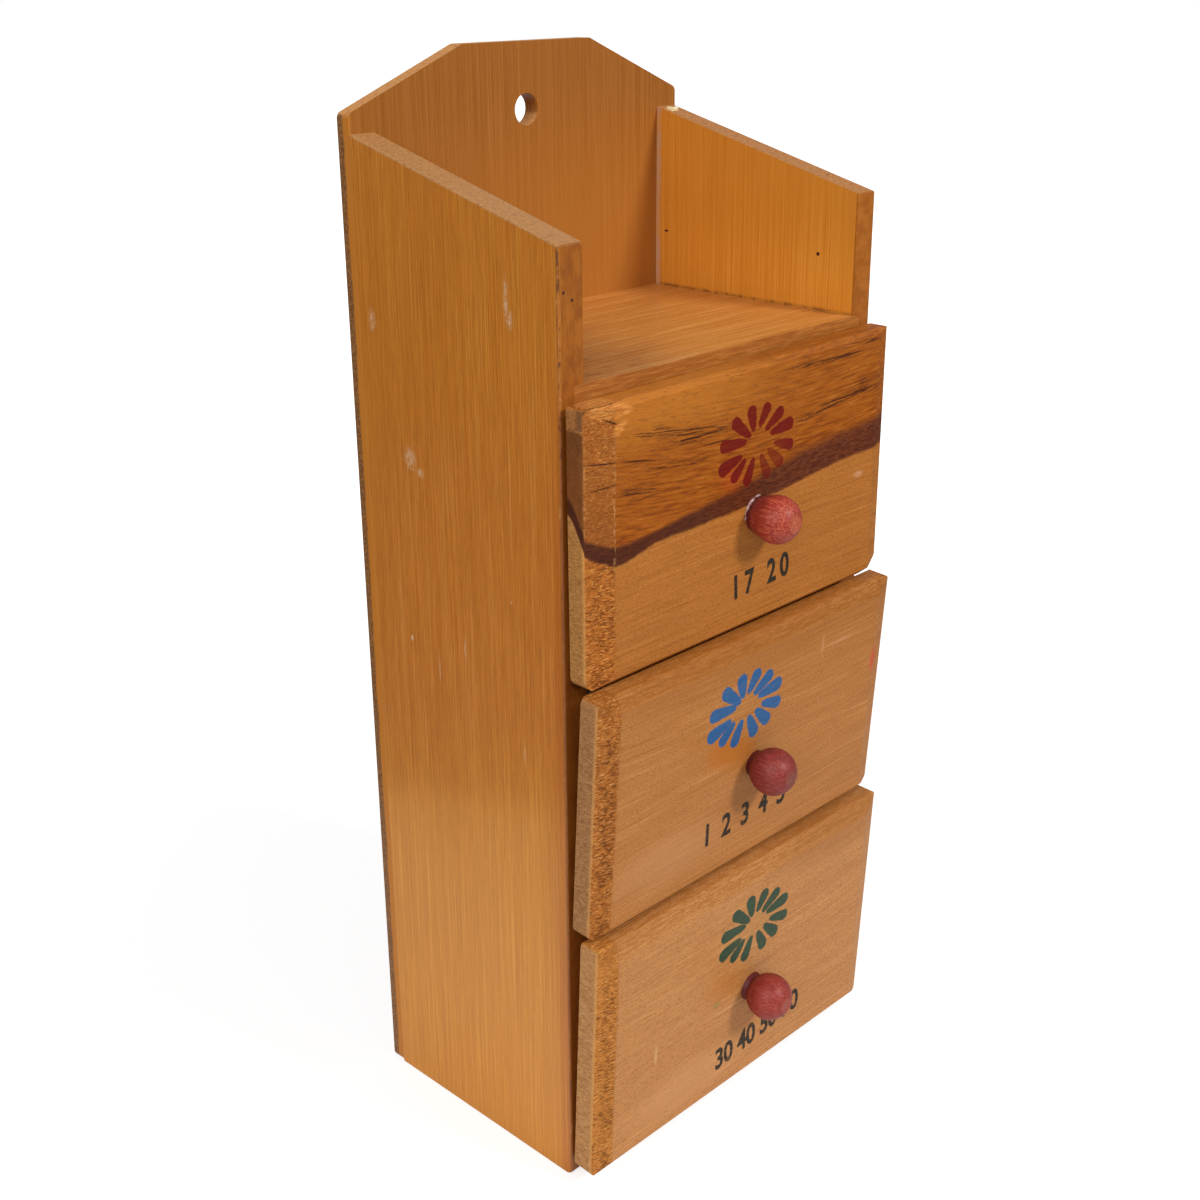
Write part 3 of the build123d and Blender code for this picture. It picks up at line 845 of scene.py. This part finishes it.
# Each patch on a front is its place, its size, its shade and how strong it is.
top_wood = front_material(
    top, "top_front_wood", ((150, 88, 33), (174, 108, 44), (194, 128, 64)),
    strip_tones=((134, 70, 18), (182, 106, 37), (222, 156, 86)),
    end_tones=((164, 108, 52), (196, 140, 78)),
    flower=(1.6, 42.4), flower_shade=(113, 14, 12), swell=0.1, pit_top=27.0,
    over=heartwood_over, figure=heartwood, faded=(6.5, 38.0, 7.0, 6.0),
    patches=[((40, 27), (2.5, 1.2), (206, 156, 120), 0.5)])
middle_wood = front_material(
    middle, "middle_front_wood", ((156, 94, 40), (177, 115, 56), (200, 141, 82)),
    strip_tones=((128, 66, 16), (174, 104, 40), (218, 154, 86)),
    end_tones=((151, 99, 58), (188, 137, 86)),
    flower=(-3.7, 41.8), flower_shade=(0, 94, 152), swell=0.3, pit_top=51.0,
    over=top_edge_wear_and_shade(55.6, (146, 86, 30), 0.8),
    # The first patch is painted shadow of the top front along this front's top.
    patches=[((0, 55), (75, 8), (150, 88, 30), 0.4), ((-28, 12), (26, 9), (196, 140, 92), 0.35),
             ((-10, 33), (9, 6.5), (180, 104, 34), 0.7), ((-3, 30), (6, 5), (178, 104, 40), 0.5),
             ((46.2, 38), (2.0, 5.0), (198, 72, 48), 0.75), ((31, 48), (8, 0.5), (220, 170, 130), 0.3),
             ((24, 49), (0.7, 4), (216, 164, 120), 0.28)])
bottom_wood = front_material(
    bottom, "bottom_front_wood", ((164, 104, 52), (185, 126, 70), (206, 150, 94)),
    strip_tones=((146, 82, 24), (190, 120, 50), (220, 158, 90)),
    end_tones=((171, 114, 64), (205, 153, 97)),
    flower=(2.3, 45.0), flower_shade=(6, 66, 49), swell=0.25, pit_top=54.0,
    over=top_edge_wear_and_shade(58.4, (158, 98, 42), 0.75),
    # The first patch is painted shadow of the middle front along the right of this front's top.
    patches=[((34, 58), (34, 9), (150, 90, 38), 0.4), ((-20, 10), (30, 9), (212, 156, 104), 0.3),
             ((-9, 32), (9, 7), (180, 110, 50), 0.45), ((1.0, 44.5), (15, 10.5), (160, 136, 74), 0.12),
             ((-10.5, 28), (2.2, 1.2), (128, 122, 62), 0.55), ((-32, 25), (0.7, 4), (226, 180, 130), 0.4),
             ((-48.5, 26), (1.2, 1.6), (190, 70, 50), 0.5)])


# ---------------- building new pieces
def mesh_of(name, shape, smooth=False):
    """The mesh that a shape has drawn, shaded smoothly all over where asked."""
    if smooth:
        for face in shape.faces:
            face.smooth = True
    mesh = bpy.data.meshes.new(name)
    shape.to_mesh(mesh)
    shape.free()
    return mesh


def new_object(name, data):
    made = bpy.data.objects.new(name, data)
    bpy.context.scene.collection.objects.link(made)
    return made


def new_piece(name, mesh, material, body):
    """A piece of one material that rides on a body."""
    piece = new_object(name, mesh)
    mesh.materials.clear()
    mesh.materials.append(material)
    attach(piece, body)
    return piece


def bridge(shape, rings):
    """Join each ring of points to the next with a band of faces."""
    count = len(rings[0])
    for one, other in zip(rings, rings[1:]):
        for side in range(count):
            following = (side + 1) % count
            shape.faces.new((one[side], one[following], other[following], other[side]))


# ---------------- worn front meshes
TORN_PITCH = 0.45   # the finest cuts, over the torn left bevel
FIELD_PITCH = 0.9   # over the field beside it
RIGHT_PITCH = 1.2   # over the right bevel, which is seen only as an edge
PIT_DEPTH = 0.2
CREASE = radians(38)


def clamped(value):
    return min(1.0, max(0.0, value))


def sliced(shape, origin, normal, first, last, pitch):
    """Cut a mesh with parallel planes from first to last, so that it can take fine relief."""
    for index in range(int((last - first) / pitch)):
        stop = first + (index + 0.5) * pitch
        parts = shape.verts[:] + shape.edges[:] + shape.faces[:]
        bmesh.ops.bisect_plane(shape, geom=parts, plane_co=origin + normal * stop * MM, plane_no=normal)


def torn_depth(front, across, up, seed, deepest):
    """How deep the torn end grain is pitted at one place of a bevel, from 0 to 1."""
    inset = min(across - front.left, front.right - across)
    ragged = 1.2 * noise.noise(Vector((across * 0.4, up * 0.9, seed + 5.0)))
    inside = clamped((front.left_bevel + ragged - inset) / 0.8)
    inside *= clamped(inset - 0.8) * clamped(up - 3.0)
    pits = noise.noise(Vector((across * 0.95, up * 2.1, seed)))
    finer = noise.noise(Vector((across * 1.9, up * 3.3, seed + 9.0)))
    dense = deepest(across - front.left, up)
    return inside * clamped(1.7 * (pits + 0.5 * finer) - 0.55 + 0.6 * dense) * dense


def chipped_depth(across, up, seed, chips):
    """How deep some ragged oval chips are at one place, in millimetres."""
    sink = 0.0
    for (chip_across, chip_up), (wide, high), depth in chips:
        away = ((across - chip_across) / wide) ** 2 + ((up - chip_up) / high) ** 2
        if away < 1:
            splinter = noise.noise(Vector((across * 0.35, up * 2.6, seed + 3.0)))
            sink += depth * (1 - away) * max(0.0, 0.65 + splinter)
    return sink


def worn_front(front, material, seed, deepest, chips=()):
    """The front as it is: pitted torn bevels and chipped corners, in place of the clean one."""
    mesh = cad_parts[front.node].data.copy()
    mesh.name = front.node + "_worn"
    shape = bmesh.new()
    shape.from_mesh(mesh)
    bmesh.ops.remove_doubles(shape, verts=shape.verts[:], dist=0.00001)
    across_axis = Vector((1, 0, 0))
    bevel_end = front.left + front.left_bevel + 1.5
    sliced(shape, front.origin, front.up, 0, front.height, TORN_PITCH)
    sliced(shape, front.origin, across_axis, front.left, bevel_end, TORN_PITCH)
    sliced(shape, front.origin, across_axis, front.right - 6.0, front.right, RIGHT_PITCH)
    sliced(shape, front.origin, across_axis, bevel_end, bevel_end + 8, FIELD_PITCH)
    shape.normal_update()
    depths = shape.verts.layers.float.new("torn")
    moves = []
    for vertex in shape.verts:
        across, up, out = front.local(vertex.co)
        pit = torn_depth(front, across, up, seed, deepest) if out > front.ends - 2.0 else 0.0
        chip = chipped_depth(across, up, seed, chips) if out > 1.0 else 0.0
        vertex[depths] = pit
        moves.append((vertex, vertex.normal * -(PIT_DEPTH * pit + chip) * MM))
    for vertex, move in moves:
        vertex.co += move
    for edge in shape.edges:
        edge.smooth = edge.is_manifold and edge.calc_face_angle(0.0) < CREASE
    for face in shape.faces:
        face.smooth = True
    shape.to_mesh(mesh)
    shape.free()
    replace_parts(new_piece(mesh.name, mesh, material, front.drawer), front.node)


worn_front(
    top, top_wood, 2.0,
    lambda inset, up: (1.0 if up < 25.5 else 0.34) * (0.65 if inset < 2 else 1.0),
    [((-44.5, 58.6), (7, 2.2), 0.5), ((-42.5, 55.2), (3.0, 1.6), 0.45)])
worn_front(
    middle, middle_wood, 17.0,
    lambda inset, up: (1.0 if up > 48 else 0.78) * (0.5 if inset < 2 else 1.0))
worn_front(
    bottom, bottom_wood, 31.0,
    lambda inset, up: 0.62 * (0.5 if inset < 2 else 1.0))


# ---------------- knobs
KNOB_SIDES = 56
BEAD_STEPS = 20
KNOB_TIP = 1.6      # the radius of the flat on the bead's tip
DIMPLE = 0.3
TOP_KNOB = (2.5, 26.15)  # across and up its front
MIDDLE_KNOB = (1.3, 25.65)


def turned_knob(front, place, radius, centre, foot, material, seed):
    """A turned knob with a full foot: a bead whose back runs into the front with no groove.

    The foot is a profile of how far out it is and its radius, up to where the bead begins."""
    profile = list(foot)
    start = asin(foot[-1][1] / radius)
    stop = asin(KNOB_TIP / radius)
    for index in range(1, BEAD_STEPS + 1):
        angle = start + (pi - stop - start) * index / BEAD_STEPS
        profile.append((centre - radius * cos(angle), radius * sin(angle)))
    shape = bmesh.new()
    rings = []
    for out, reach in profile:
        ring = []
        for side in range(KNOB_SIDES):
            turn = 2 * pi * side / KNOB_SIDES
            uneven = 1 + 0.012 * noise.noise(Vector((cos(turn) * 1.3, sin(turn) * 1.3, out * 0.2 + seed)))
            point = front.around(place, reach * uneven, turn, front.face + out)
            ring.append(shape.verts.new(point))
        rings.append(ring)
    bridge(shape, rings)
    dimple = shape.verts.new(front.at(*place, front.face + profile[-1][0] - DIMPLE))
    for side in range(KNOB_SIDES):
        shape.faces.new((rings[-1][side], rings[-1][(side + 1) % KNOB_SIDES], dimple))
    shape.faces.new(rings[0][::-1])
    bmesh.ops.recalc_face_normals(shape, faces=shape.faces[:])
    for face in shape.faces:
        face.smooth = len(face.verts) < 5
    node = front.drawer + "_knob"
    name = node + "_turned"
    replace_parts(new_piece(name, mesh_of(name, shape), material, front.drawer), node)


# Each stain ends with the place of its knob's tip in the shared frame.
turned_knob(
    top, TOP_KNOB, 5.45, 5.54,
    [(-1.0, 3.9), (0.0, 4.0), (0.5, 4.08), (1.0, 4.25), (1.7, 4.5), (2.5, 4.8), (3.4, 5.08), (4.2, 5.28)],
    knob_material("top_knob_stain", (144, 42, 31), (190, 88, 62), (204, 116, 80), (2.5, -50.8, 152.6)),
    1.0)
turned_knob(
    middle, MIDDLE_KNOB, 5.55, 5.66,
    [(-1.0, 3.0), (0.0, 3.1), (0.5, 3.15), (0.9, 3.3), (1.25, 3.55), (1.6, 3.85)],
    knob_material("middle_knob_stain", (122, 38, 34), (150, 60, 50), (124, 82, 66), (1.3, -53.3, 92.2)),
    4.0)
dress("bottom_drawer_knob", knob_material(
    "bottom_knob_stain", (134, 40, 32), (158, 66, 54), (164, 88, 72), (2.6, -53.6, 30.1)))


# ---------------- numerals and glue
DIGIT_SHARE = 0.7     # a digit's height as a share of the font's size
DIGIT_WIDTH = 0.82    # the digits are narrower than the font's
STROKE_SWELL = 0.00024
INK_LIFT = 0.03


def numerals(front, text, across, up, height, spread, tilt, material):
    """Plain stencilled numbers lying on the front's face, as a skin of ink."""
    name = f"{front.drawer}_numerals"
    data = bpy.data.curves.new(name, "FONT")
    data.body = text
    data.size = height * MM / DIGIT_SHARE
    data.space_character = spread
    data.align_x = "CENTER"
    data.offset = STROKE_SWELL
    letters = new_object(name + "_curve", data)
    bpy.context.view_layer.update()
    mesh = bpy.data.meshes.new_from_object(letters)
    bpy.data.objects.remove(letters)
    mesh.transform(Matrix.Diagonal((DIGIT_WIDTH, 1, 1, 1)))
    mesh.transform(Matrix.Translation((0, -height * MM / 2, 0)))
    mesh.transform(Matrix.Rotation(radians(tilt), 4, "Z"))
    mesh.transform(Matrix.Translation(front.at(across, up, front.face + INK_LIFT)) @ front.axes())
    new_piece(name, mesh, material, front.drawer)


stencil_ink = ink_material()
numerals(top, "17 20", 4.3, 11.2, 5.5, 1.45, 3.0, stencil_ink)
numerals(middle, "1 2 3 4 5", -0.5, 12.8, 5.8, 1.22, 1.5, stencil_ink)
numerals(bottom, "30 40 50 70", 6.6, 12.1, 6.0, 0.97, 4.5, stencil_ink)

RING_STEPS = 40
RING_SIDES = 8
THINNEST = 0.02


def glue_ring(name, front, place, radius, thickness, span, seed, material):
    """A lumpy bead of squeezed-out glue part of the way round a knob's neck."""
    first, last = span
    shape = bmesh.new()
    rings = []
    for index in range(RING_STEPS + 1):
        share = index / RING_STEPS
        angle = radians(first + (last - first) * share)
        lump = 0.7 + 0.5 * noise.noise(Vector((share * 6.0, seed, 0.0)))
        fat = max(THINNEST, thickness * lump * sin(pi * share) ** 0.5)
        ring = []
        for side in range(RING_SIDES):
            turn = 2 * pi * side / RING_SIDES
            out = front.face + fat * (0.45 + 0.6 * sin(turn))
            point = front.around(place, radius + fat * cos(turn), angle, out)
            ring.append(shape.verts.new(point))
        rings.append(ring)
    bridge(shape, rings)
    shape.faces.new(rings[0])
    shape.faces.new(rings[-1][::-1])
    bmesh.ops.recalc_face_normals(shape, faces=shape.faces[:])
    new_piece(name, mesh_of(name, shape, smooth=True), material, front.drawer)


def glue_blob(name, place, size, seed, material):
    """An uneven dried drop of glue."""
    shape = bmesh.new()
    bmesh.ops.create_icosphere(shape, subdivisions=3, radius=1.0)
    for vertex in shape.verts:
        swell = 1 + 0.35 * noise.noise(vertex.co * 1.6 + Vector((seed, 0, 0)))
        vertex.co = Vector([value * length * swell for value, length in zip(vertex.co, size)]) * MM
        vertex.co += Vector(place) * MM
    new_piece(name, mesh_of(name, shape, smooth=True), material, "carcass")


clear_glue = glue_material("clear_glue", (112, 64, 58), (186, 150, 146))
cream_glue = glue_material("cream_glue", (206, 180, 128), (236, 220, 182))
glue_ring("knob_glue", top, TOP_KNOB, 4.3, 0.6, (75, 190), 4.0, clear_glue)
glue_blob("corner_glue", (47.2, 26.6, 232.0), (2.2, 2.0, 1.3), 2.0, cream_glue)


# ---------------- stage and light
PAPER_LIT = (238, 238, 238)
PAPER_DIM = (112, 104, 96)
SHADOW_SHARE = (0.5, 0.5, 0.5, 1)  # how much of the light, and so of the shadow, the camera sees
GLOW_NEAR = (0.7, 0.7, 0.7, 1)     # the paper's own glow for the camera, beside the cabinet


def floor_material():
    """White paper for the camera, with the object's shadow; greyer further out for the rest."""
    p = Paint("paper")
    beside = p.vector("DOT_PRODUCT", p.place, (0.885, -0.466, 0.0))
    ahead = p.vector("DOT_PRODUCT", p.place, (0.72, -0.69, 0.0))
    lit = p.both(p.step(beside, -0.205, -0.18), p.step(ahead, 0.42, 0.12))
    paper = p.add("ShaderNodeBsdfDiffuse", p.mix(rgb(*PAPER_DIM), rgb(*PAPER_LIT), lit)).outputs[0]
    shadowed = p.add("ShaderNodeBsdfDiffuse", SHADOW_SHARE).outputs[0]
    away = p.step(p.vector("LENGTH", p.place), 0.12, 0.6)
    glow = p.add("ShaderNodeEmission", p.mix(GLOW_NEAR, WHITE, away)).outputs[0]
    seen = p.add("ShaderNodeAddShader", shadowed, glow).outputs[0]
    by_camera = p.add("ShaderNodeLightPath").outputs["Is Camera Ray"]
    return p.finish(p.add("ShaderNodeMixShader", by_camera, paper, seen).outputs[0])


def make_floor():
    shape = bmesh.new()
    bmesh.ops.create_circle(shape, cap_ends=True, segments=96, radius=6.0)
    floor = new_object("floor", mesh_of("floor", shape))
    floor.data.materials.append(floor_material())


SKY_LIGHT = 0.35


def make_world():
    """A white surround: dim as a light, and at full strength for the camera."""
    world = bpy.data.worlds.new("studio")
    bpy.context.scene.world = world
    world.use_nodes = True
    sky = Nodes(world.node_tree)
    by_camera = sky.add("ShaderNodeLightPath").outputs["Is Camera Ray"]
    named = {"Value": by_camera, "To Min": SKY_LIGHT, "To Max": 1.0}
    strength = sky.add("ShaderNodeMapRange", named=named).outputs[0]
    background = sky.add("ShaderNodeBackground", WHITE, strength).outputs[0]
    sky.add("ShaderNodeOutputWorld", background)


LIGHT_AIM = Vector((0, 0, 0.12))


def area_light(name, place, size, power, colour=(1, 1, 1)):
    """A square soft light that faces the middle of the cabinet."""
    data = bpy.data.lights.new(name, "AREA")
    data.size = size
    data.energy = power
    data.color = colour
    lamp = new_object(name, data)
    lamp.location = place
    lamp.rotation_euler = (LIGHT_AIM - lamp.location).to_track_quat("-Z", "Y").to_euler()


# The photograph's camera, as it was fitted to the carcass: degrees, and its place in millimetres.
CAMERA_HEADING = -45.38
CAMERA_HEIGHT = 20.93
CAMERA_ROLL = -0.49
CAMERA_PLACE = (-265.2, -253.2, 266.2)
CAMERA_LENS = 48.72
CAMERA_SENSOR = 36
CAMERA_SHIFT = (0.0054, -0.0121)


def make_camera():
    """The photograph's camera: its place, its heading and a small shift."""
    heading, height, roll = radians(CAMERA_HEADING), radians(CAMERA_HEIGHT), radians(CAMERA_ROLL)
    back = Vector((sin(heading) * cos(height), -cos(heading) * cos(height), sin(height)))
    right = (-back).cross(Vector((0, 0, 1))).normalized()
    above = back.cross(right)
    tilted_right = right * cos(roll) + above * sin(roll)
    tilted_up = above * cos(roll) - right * sin(roll)
    data = bpy.data.cameras.new("camera")
    data.lens = CAMERA_LENS
    data.sensor_width = CAMERA_SENSOR
    data.shift_x, data.shift_y = CAMERA_SHIFT
    data.clip_start = 0.01
    camera = new_object("camera", data)
    turn = Matrix((tilted_right, tilted_up, back)).transposed().to_4x4()
    camera.matrix_world = Matrix.Translation(Vector(CAMERA_PLACE) * MM) @ turn
    bpy.context.scene.camera = camera


make_floor()
make_world()
area_light("key", (0.34, -1.2, 1.03), 0.3, 13.4, (1.0, 0.98, 0.95))
area_light("fill", (-1.15, -0.5, 0.9), 1.2, 13.2)
make_camera()
bpy.context.scene.view_settings.view_transform = "Standard"
